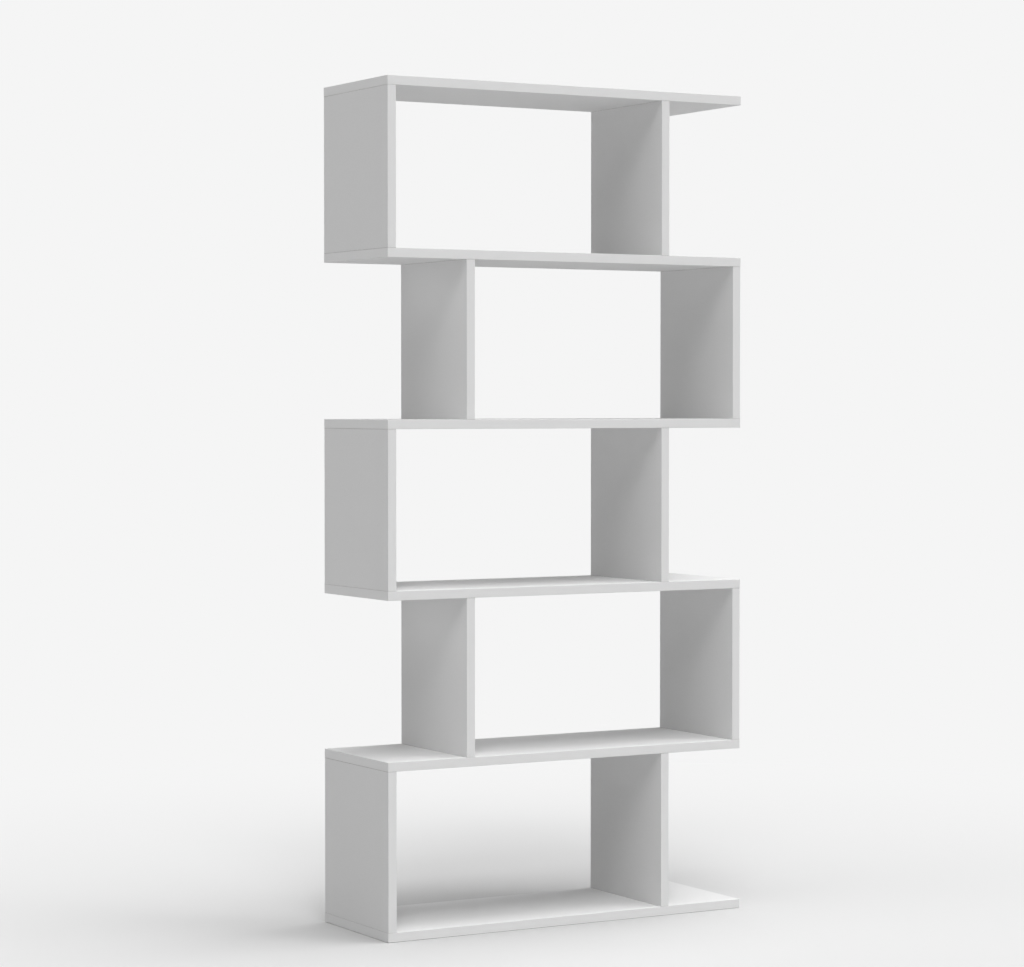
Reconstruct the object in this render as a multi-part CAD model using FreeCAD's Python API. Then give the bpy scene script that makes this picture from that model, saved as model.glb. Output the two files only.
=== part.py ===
import FreeCAD, Part
import math
import os

# Zigzag bookshelf, in millimetres
# Level shelves stand on tiers of two uprights each. In odd tiers, counted from the floor, the left
# upright is flush with the ends of the shelves and the right one is set in from theirs. Even tiers are
# the mirror image, so that the uprights zigzag. Every board is white chipboard with a plastic edging
# on each edge that shows, and every butt joint is glued over biscuits that don't show.
# X runs along the width, the front faces -Y, Z is up, and the origin is the middle of the underside.

# Overall form
shelf_width = 800.0
shelf_depth = 270.0
clear_height = 306.0
end_overhang = 170.0
tier_count = 5

# Boards and their edging
board_thickness = 18.0
edging_thickness = 1.0
edging_round_share = 0.8

# Biscuits, and the disc cutter that makes their slots
# Glue swells a biscuit tight across its slot, so only its rim has a clearance.
biscuit_width = 19.0
biscuit_thickness = 4.0
biscuit_tip_share = 0.2
biscuit_place_share = 0.25
biscuit_clearance = 0.5
cutter_radius = 50.0

# Worked out from the sizes above
core_width = shelf_width - 2 * edging_thickness
core_depth = shelf_depth - 2 * edging_thickness
tier_pitch = clear_height + board_thickness
slot_depth = biscuit_width / 2 + biscuit_clearance
cutter_height = cutter_radius - slot_depth

sides = ("left", "right")
origin = FreeCAD.Vector(0, 0, 0)
along_x = FreeCAD.Vector(1, 0, 0)
along_y = FreeCAD.Vector(0, 1, 0)
along_z = FreeCAD.Vector(0, 0, 1)


def moved(shape, x, y, z):
    """A copy of a shape, moved."""
    return shape.translated(FreeCAD.Vector(x, y, z))


def board(width, depth, height):
    """A board centred on the Z axis that stands on Z = 0."""
    return Part.makeBox(width, depth, height, FreeCAD.Vector(-width / 2, -depth / 2, 0))


def shelf_bottom(level):
    """Height of a shelf's underside. Level 1 is the base."""
    return (level - 1) * tier_pitch


def shelf_top(level):
    """Height of a shelf's upper face."""
    return shelf_bottom(level) + board_thickness


def upright_x(tier, side):
    """X of the middle of an upright, which is flush with the shelf ends or set in from them."""
    flush = (side == "left") == (tier % 2 == 1)
    inset = 0 if flush else end_overhang
    reach = shelf_width / 2 - inset - board_thickness / 2
    return -reach if side == "left" else reach


def biscuit_places(tier, side):
    """X and Y of the biscuits in each joint of one upright."""
    x = upright_x(tier, side)
    y = (1 / 2 - biscuit_place_share) * shelf_depth
    return [(x, -y), (x, y)]


def slot_cutters(tier, side, joint_z, facing):
    """The disc cutter at full plunge at each slot of a joint: above the joint if facing is 1, below if -1."""
    centre_z = joint_z + facing * cutter_height
    disc = Part.makeCylinder(cutter_radius, biscuit_thickness, along_x * (-biscuit_thickness / 2), along_x)
    return [moved(disc, x, y, centre_z) for x, y in biscuit_places(tier, side)]


def shelf_core(level):
    """A shelf's chipboard, slotted for the uprights that stand on it and for those that carry it."""
    core = moved(board(core_width, core_depth, board_thickness), 0, 0, shelf_bottom(level))
    cutters = []
    for side in sides:
        if level <= tier_count:
            cutters += slot_cutters(level, side, shelf_top(level), 1)
        if level > 1:
            cutters += slot_cutters(level - 1, side, shelf_bottom(level), -1)
    return core.cut(cutters)


def upright_core(tier, side):
    """An upright's chipboard, slotted at both ends."""
    core = board(board_thickness, core_depth, clear_height)
    core = moved(core, upright_x(tier, side), 0, shelf_top(tier))
    lower_cutters = slot_cutters(tier, side, shelf_top(tier), -1)
    upper_cutters = slot_cutters(tier, side, shelf_bottom(tier + 1), 1)
    return core.cut(lower_cutters + upper_cutters)


def edging_strip(length):
    """A strip along X, centred on the origin, with its glued side at Y = 0 and its rounded side at -Y."""
    corner = FreeCAD.Vector(-length / 2, -edging_thickness, -board_thickness / 2)
    strip = Part.makeBox(length, edging_thickness, board_thickness, corner)
    outer_face = min(strip.Faces, key=lambda face: face.CenterOfMass.y)
    long_edges = sorted(outer_face.Edges, key=lambda edge: abs(edge.CenterOfMass.z))[-2:]
    return strip.makeFillet(edging_round_share * edging_thickness, long_edges)


def glued_strip(strip, core_reach, turn):
    """A strip on the side of a core that lies core_reach in front of its middle, then turned round Z."""
    glued = moved(strip, 0, -core_reach, 0)
    glued.rotate(origin, along_z, turn)
    return glued


def shelf_edging(level):
    """The edging round a shelf: the front and back strips cover the ends of the side strips."""
    long_strip = edging_strip(shelf_width)
    side_strip = edging_strip(core_depth)
    strips = [glued_strip(long_strip, core_depth / 2, turn) for turn in (0, 180)]
    strips += [glued_strip(side_strip, core_width / 2, turn) for turn in (90, 270)]
    return moved(Part.makeCompound(strips), 0, 0, shelf_bottom(level) + board_thickness / 2)


def upright_edging(tier, side):
    """The edging on the front and back of an upright."""
    strip = edging_strip(clear_height)
    strip.rotate(origin, along_y, 90)
    strips = [glued_strip(strip, core_depth / 2, turn) for turn in (0, 180)]
    return moved(Part.makeCompound(strips), upright_x(tier, side), 0, shelf_top(tier) + clear_height / 2)


def biscuit():
    """A biscuit across a joint at Z = 0: two arcs that follow the slots, with blunt tips between them."""
    half_width = biscuit_width / 2
    tip = biscuit_tip_share * half_width
    rim_radius = cutter_radius - biscuit_clearance
    half_length = math.sqrt(rim_radius**2 - (cutter_height + tip) ** 2)
    cheek = -biscuit_thickness / 2
    low_start = FreeCAD.Vector(cheek, -half_length, -tip)
    low_end = FreeCAD.Vector(cheek, half_length, -tip)
    high_start = FreeCAD.Vector(cheek, half_length, tip)
    high_end = FreeCAD.Vector(cheek, -half_length, tip)
    outline = Part.Wire(
        [
            Part.Arc(low_start, FreeCAD.Vector(cheek, 0, -half_width), low_end).toShape(),
            Part.makeLine(low_end, high_start),
            Part.Arc(high_start, FreeCAD.Vector(cheek, 0, half_width), high_end).toShape(),
            Part.makeLine(high_end, low_start),
        ]
    )
    return Part.Face(outline).extrude(along_x * biscuit_thickness)


def upright_biscuits(tier, side):
    """The biscuits in the joints at both ends of one upright."""
    joints = (shelf_top(tier), shelf_bottom(tier + 1))
    places = biscuit_places(tier, side)
    return Part.makeCompound([moved(biscuit(), x, y, z) for x, y in places for z in joints])


def save(shape, node):
    """Writes one sub-part."""
    shape.exportStep(os.path.join("parts", node + ".step"))


os.makedirs("parts", exist_ok=True)

for level in range(1, tier_count + 2):
    save(shelf_core(level), f"shelf_{level}")
    save(shelf_edging(level), f"shelf_{level}_edging")

for tier in range(1, tier_count + 1):
    for side in sides:
        save(upright_core(tier, side), f"upright_{tier}_{side}")
        save(upright_edging(tier, side), f"upright_{tier}_{side}_edging")
        save(upright_biscuits(tier, side), f"upright_{tier}_{side}_biscuits")
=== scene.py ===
import math

import bpy
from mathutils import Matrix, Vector


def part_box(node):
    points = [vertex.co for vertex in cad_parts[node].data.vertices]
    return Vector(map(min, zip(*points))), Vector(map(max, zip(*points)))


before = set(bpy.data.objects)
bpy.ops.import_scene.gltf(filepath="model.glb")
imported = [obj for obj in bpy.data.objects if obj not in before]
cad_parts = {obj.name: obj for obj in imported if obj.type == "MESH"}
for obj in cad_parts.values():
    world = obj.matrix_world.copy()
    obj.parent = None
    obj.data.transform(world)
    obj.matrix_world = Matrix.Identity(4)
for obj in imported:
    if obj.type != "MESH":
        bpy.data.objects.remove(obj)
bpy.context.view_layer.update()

# A tall white bookshelf: level boards on staggered uprights, in soft studio light.
# Every shape is the CAD model's own. This script gives the finishes, the studio and the camera.
# Lengths are in metres and angles in degrees. X runs to the right, the front faces -Y and Z is up.
# A turn goes round the shelf, from 0 in front to 90 on the right, and a lift goes up from the floor.

shelf_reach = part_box("shelf_1")[1]
upright_low, upright_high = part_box("upright_1_left")
next_upright_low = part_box("upright_2_left")[0]
upright_height = upright_high.z - upright_low.z
tier_pitch = next_upright_low.z - upright_low.z

# Camera: where it stands, and the turn and lift that it looks along
camera_place = (-3.007, -5.1444, 1.0192)
camera_turn = 150.134
camera_lift = -1.517
lens_length = 105.3
sensor_width = 36.0

# Studio: an even backdrop, and a floor that fades into it.
# The camera sees the floor paler than it lights the shelf, so that the shelf's undersides stay in shade.
backdrop_white = 0.913
floor_seen_white = 0.752
floor_true_white = 0.515
floor_roughness = 1.0
floor_shine = 0.0
floor_radius = 40.0
floor_sides = 64
floor_drop = 0.0004
floor_fade_start = 0.3
floor_fade_end = 2.6

# Painted contact shade: the floor's colour is darkened where the shelf closes it in. How far away the shelf
# still darkens it, how much, and how steeply towards the base
painted_shade_reach = 0.8
painted_shade_share = 0.64
painted_shade_falloff = 1.5

# Soft lamps all round. A level of 1 lights a white that faces the lamp to full white.
soft_lamps = {
    "lamp_above_right": {"turn": 90, "lift": 75, "spread": 35, "level": 0.28},
    "lamp_above_front": {"turn": 345, "lift": 70, "spread": 40, "level": 0.23},
    "lamp_above_left": {"turn": 285, "lift": 70, "spread": 40, "level": 0.1},
    "lamp_high_right": {"turn": 75, "lift": 60, "spread": 40, "level": 0.25},
    "lamp_front_left": {"turn": 335, "lift": 48, "spread": 25, "level": 0.29},
    "lamp_low_right": {"turn": 45, "lift": 8, "spread": 35, "level": 0.324},
    "lamp_low_left": {"turn": 270, "lift": 8, "spread": 35, "level": 0.161},
    "lamp_low_back": {"turn": 180, "lift": 8, "spread": 35, "level": 0.13},
}

# All finishes: the middle of a noise, and how far the roughness ranges over it
noise_middle = 0.5
roughness_range = 0.3

# The Mix node's sockets for colours
mix_share = 0
mix_low = 6
mix_high = 7
mix_result = 2

# White board: pearl grain pressed into the resin, with painted shade in its hollows, and chips that just
# show through the paper
board_white = 0.81
board_roughness = 0.85
board_shine = 0.2
drift_size = 0.35
drift_detail = 2.0
drift_share = 0.024
pearl_size = 0.0011
pearl_detail = 1.0
pearl_shade_share = 0.12
pearl_depth = 0.00014
chip_size = 0.011
chip_detail = 2.0
chip_depth = 0.00004

# Plastic edging: drawn lengthwise, a little smoother than the boards, with a hairline of glue behind it
edging_white = 0.81
edging_roughness = 0.62
edging_shine = 0.3
draw_line_size = 0.0007
draw_line_length = 0.25
draw_line_detail = 1.0
draw_line_depth = 0.00006
glue_line_width = 0.00012
glue_white = 0.55

# Sawn ends of the uprights: a hairline of bare chipboard where each one meets a shelf
sawn_line_width = 0.00025
sawn_colour = (0.29, 0.28, 0.27, 1.0)

# Biscuits of pressed beech, with the grain across their corners
beech_dark = (0.33, 0.19, 0.09, 1.0)
beech_pale = (0.56, 0.37, 0.20, 1.0)
beech_roughness = 0.75
beech_shine = 0.3
grain_turn = 45.0
grain_width = 0.0008
grain_length = 0.012
grain_detail = 3.0
fleck_size = 0.0016
fleck_detail = 1.0
fleck_depth = 0.00006


class Shade:
    """A shader socket. Sums, products and comparisons of shades add the nodes that work them out."""

    def __init__(self, tree, socket):
        self.tree = tree
        self.socket = socket

    def __add__(self, other):
        return self.tree.maths("ADD", self, other)

    def __radd__(self, other):
        return self.tree.maths("ADD", other, self)

    def __sub__(self, other):
        return self.tree.maths("SUBTRACT", self, other)

    def __rsub__(self, other):
        return self.tree.maths("SUBTRACT", other, self)

    def __mul__(self, other):
        return self.tree.maths("MULTIPLY", self, other)

    def __rmul__(self, other):
        return self.tree.maths("MULTIPLY", other, self)

    def __abs__(self):
        return self.tree.maths("ABSOLUTE", self)

    def __lt__(self, other):
        return self.tree.maths("LESS_THAN", self, other)

    def __gt__(self, other):
        return self.tree.maths("GREATER_THAN", self, other)


class Tree:
    """The node tree of a finish or of the backdrop."""

    def __init__(self, owner):
        owner.use_nodes = True
        self.owner = owner
        self.nodes = owner.node_tree.nodes
        self.links = owner.node_tree.links
        self.nodes.clear()

    def node(self, kind, settings, inputs, output=0):
        """Adds a node, sets it up, fills its sockets with values or links, and gives one of its outputs."""
        made = self.nodes.new("ShaderNode" + kind)
        for name, value in settings.items():
            setattr(made, name, value)
        for name, value in inputs.items():
            if isinstance(value, Shade):
                self.links.new(value.socket, made.inputs[name])
            else:
                made.inputs[name].default_value = value
        return Shade(self, made.outputs[output]) if made.outputs else None

    def maths(self, operation, *values):
        """One sum on numbers."""
        return self.node("Math", {"operation": operation}, dict(enumerate(values)))

    def mix(self, share, low, high):
        """A colour between two others."""
        inputs = {mix_share: share, mix_low: low, mix_high: high}
        return self.node("Mix", {"data_type": "RGBA"}, inputs, mix_result)

    def place(self):
        """Where a point of the surface is."""
        return self.node("TexCoord", {}, {}, "Object")

    def along(self, axis, place):
        """How far along X, Y or Z a place is."""
        return self.node("SeparateXYZ", {}, {"Vector": place}, axis)

    def noise(self, place, sizes, detail):
        """Noise round 0, from features of these sizes along X, Y and Z."""
        stretch = [1 / size for size in sizes]
        stretched = self.node("VectorMath", {"operation": "MULTIPLY"}, {0: place, 1: stretch})
        inputs = {"Vector": stretched, "Scale": 1.0, "Detail": detail}
        return self.node("TexNoise", {}, inputs, "Fac") - noise_middle

    def surface(self, colour, roughness, shine, relief):
        """Ends a finish in one surface, whose relief is a height."""
        normal = self.node("Bump", {}, {"Height": relief, "Strength": 1.0, "Distance": 1.0}, "Normal")
        look = {"Base Color": colour, "Roughness": roughness, "Specular IOR Level": shine, "Normal": normal}
        shader = self.node("BsdfPrincipled", {}, look)
        self.node("OutputMaterial", {}, {"Surface": shader})
        return self.owner

    def seen_directly(self):
        """1 for rays from the camera, and for those that a shiny or clear thing passes on."""
        kinds = ("Is Camera Ray", "Is Glossy Ray", "Is Transmission Ray")
        camera, glossy, clear = [self.node("LightPath", {}, {}, kind) for kind in kinds]
        return self.maths("MAXIMUM", camera, self.maths("MAXIMUM", glossy, clear))


def grey(white):
    """A neutral colour."""
    return (white, white, white, 1.0)


def sawn_line(tree, place):
    """1 on the hairlines at both ends of every upright."""
    tiers = (tree.along("Z", place) - upright_low.z) * (1 / tier_pitch)
    from_middle = abs(tree.maths("FRACT", tiers) * tier_pitch - upright_height / 2)
    return from_middle > upright_height / 2 - sawn_line_width


def white_board(piece):
    """Chipboard faced with white paper in resin, for the shelves or the uprights."""
    tree = Tree(bpy.data.materials.new(piece + "_board"))
    place = tree.place()
    drift = tree.noise(place, 3 * [drift_size], drift_detail)
    pearl = tree.noise(place, 3 * [pearl_size], pearl_detail)
    chips = tree.noise(place, 3 * [chip_size], chip_detail)
    # The pearl grain's hollows are painted darker and its tops lighter: painted shade, beside the tone that
    # drifts at random.
    colour = board_white * (1 + drift * drift_share + pearl * pearl_shade_share)
    if piece == "upright":
        colour = tree.mix(sawn_line(tree, place), colour, sawn_colour)
    roughness = board_roughness + pearl * roughness_range
    return tree.surface(colour, roughness, board_shine, pearl * pearl_depth + chips * chip_depth)


def white_edging(piece):
    """Plastic edging for the shelves or the uprights: draw lines along it, and glue next to the board."""
    tree = Tree(bpy.data.materials.new(piece + "_edging"))
    place = tree.place()
    from_board = abs(tree.along("Y", place)) - shelf_reach.y
    if piece == "upright":
        line_sizes = (draw_line_size, draw_line_size, draw_line_length)
    else:
        line_sizes = (draw_line_length, draw_line_length, draw_line_size)
        from_board = tree.maths("MAXIMUM", from_board, abs(tree.along("X", place)) - shelf_reach.x)
    lines = tree.noise(place, line_sizes, draw_line_detail)
    colour = tree.mix(from_board < glue_line_width, grey(edging_white), grey(glue_white))
    if piece == "upright":
        colour = tree.mix(sawn_line(tree, place), colour, sawn_colour)
    roughness = edging_roughness + lines * roughness_range
    return tree.surface(colour, roughness, edging_shine, lines * draw_line_depth)


def pressed_beech():
    """Beech with long grain and small flecks."""
    tree = Tree(bpy.data.materials.new("pressed_beech"))
    place = tree.place()
    turning = {"Vector": place, "Angle": math.radians(grain_turn)}
    turned = tree.node("VectorRotate", {"rotation_type": "X_AXIS"}, turning)
    grain = tree.noise(turned, (grain_width, grain_length, grain_width), grain_detail)
    flecks = tree.noise(place, 3 * [fleck_size], fleck_detail)
    colour = tree.mix(grain + noise_middle, beech_dark, beech_pale)
    roughness = beech_roughness + grain * roughness_range
    return tree.surface(colour, roughness, beech_shine, flecks * fleck_depth)


def dress():
    """Gives each CAD node its finish."""
    pieces = ("shelf", "upright")
    boards = {piece: white_board(piece) for piece in pieces}
    edgings = {piece: white_edging(piece) for piece in pieces}
    biscuits = pressed_beech()
    for name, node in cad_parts.items():
        piece = name.split("_")[0]
        if name.endswith("_biscuits"):
            finish = biscuits
        elif name.endswith("_edging"):
            finish = edgings[piece]
        else:
            finish = boards[piece]
        node.material_slots[0].material = finish


def floor_finish():
    """A pale matt floor that takes the shelf's shadow, has shade painted into its colour close to the
    shelf, and fades into the backdrop.
    """
    tree = Tree(bpy.data.materials.new("studio_floor"))
    distance = tree.node("VectorMath", {"operation": "LENGTH"}, {0: tree.place()}, "Value")
    fade_range = {"Value": distance, "From Min": floor_fade_start, "From Max": floor_fade_end}
    fade = tree.node("MapRange", {"interpolation_type": "SMOOTHSTEP"}, fade_range)
    seen = tree.seen_directly()
    # Painted shade: the floor's seen colour darkens where the shelf closes it in, as under light from all
    # round.
    closed = 1 - tree.node("AmbientOcclusion", {}, {"Distance": painted_shade_reach}, "AO")
    painted_contact_shade = painted_shade_share * tree.maths("POWER", closed, painted_shade_falloff)
    seen_white = floor_seen_white * (1 - painted_contact_shade)
    colour = tree.mix(seen, grey(floor_true_white), seen_white)
    look = {"Base Color": colour, "Roughness": floor_roughness, "Specular IOR Level": floor_shine}
    matt = tree.node("BsdfPrincipled", {}, look)
    glow = tree.node("Emission", {}, {"Color": grey(backdrop_white)})
    shader = tree.node("MixShader", {}, {0: fade * seen, 1: matt, 2: glow})
    tree.node("OutputMaterial", {}, {"Surface": shader})
    return tree.owner


def add(name, data):
    """Puts a new object in the scene."""
    made = bpy.data.objects.new(name, data)
    bpy.context.scene.collection.objects.link(made)
    return made


def studio_floor():
    """A round floor just under the shelf."""
    angles = [2 * math.pi * side / floor_sides for side in range(floor_sides)]
    rim = [(floor_radius * math.cos(a), floor_radius * math.sin(a), -floor_drop) for a in angles]
    mesh = bpy.data.meshes.new("studio_floor")
    mesh.from_pydata(rim, [], [range(floor_sides)])
    mesh.materials.append(floor_finish())
    add("studio_floor", mesh)


def backdrop():
    """An even white round everything, which is seen but gives no light to the shelf."""
    world = bpy.data.worlds.new("backdrop")
    tree = Tree(world)
    light = tree.node("Background", {}, {"Color": grey(backdrop_white), "Strength": tree.seen_directly()})
    tree.node("OutputWorld", {}, {"Surface": light})
    bpy.context.scene.world = world


def way(turn, lift):
    """The direction at a turn and a lift."""
    around, up = math.radians(turn), math.radians(lift)
    return Vector((math.sin(around) * math.cos(up), -math.cos(around) * math.cos(up), math.sin(up)))


def aim(made, direction):
    """Points a lamp or the camera along a direction."""
    made.rotation_euler = direction.to_track_quat("-Z", "Y").to_euler()


def soft_lamp(name, turn, lift, spread, level):
    """A wide, distant lamp that shines on the shelf from a turn and a lift."""
    light = bpy.data.lights.new(name, "SUN")
    light.angle = math.radians(spread)
    light.energy = math.pi * level
    aim(add(name, light), -way(turn, lift))


def camera():
    """The camera, in front and to the left."""
    made = add("camera", bpy.data.cameras.new("camera"))
    made.location = camera_place
    made.data.sensor_width = sensor_width
    made.data.lens = lens_length
    aim(made, way(camera_turn, camera_lift))
    bpy.context.scene.camera = made


dress()
studio_floor()
backdrop()
for lamp_name, settings in soft_lamps.items():
    soft_lamp(lamp_name, **settings)
camera()
bpy.context.scene.view_settings.view_transform = "Standard"
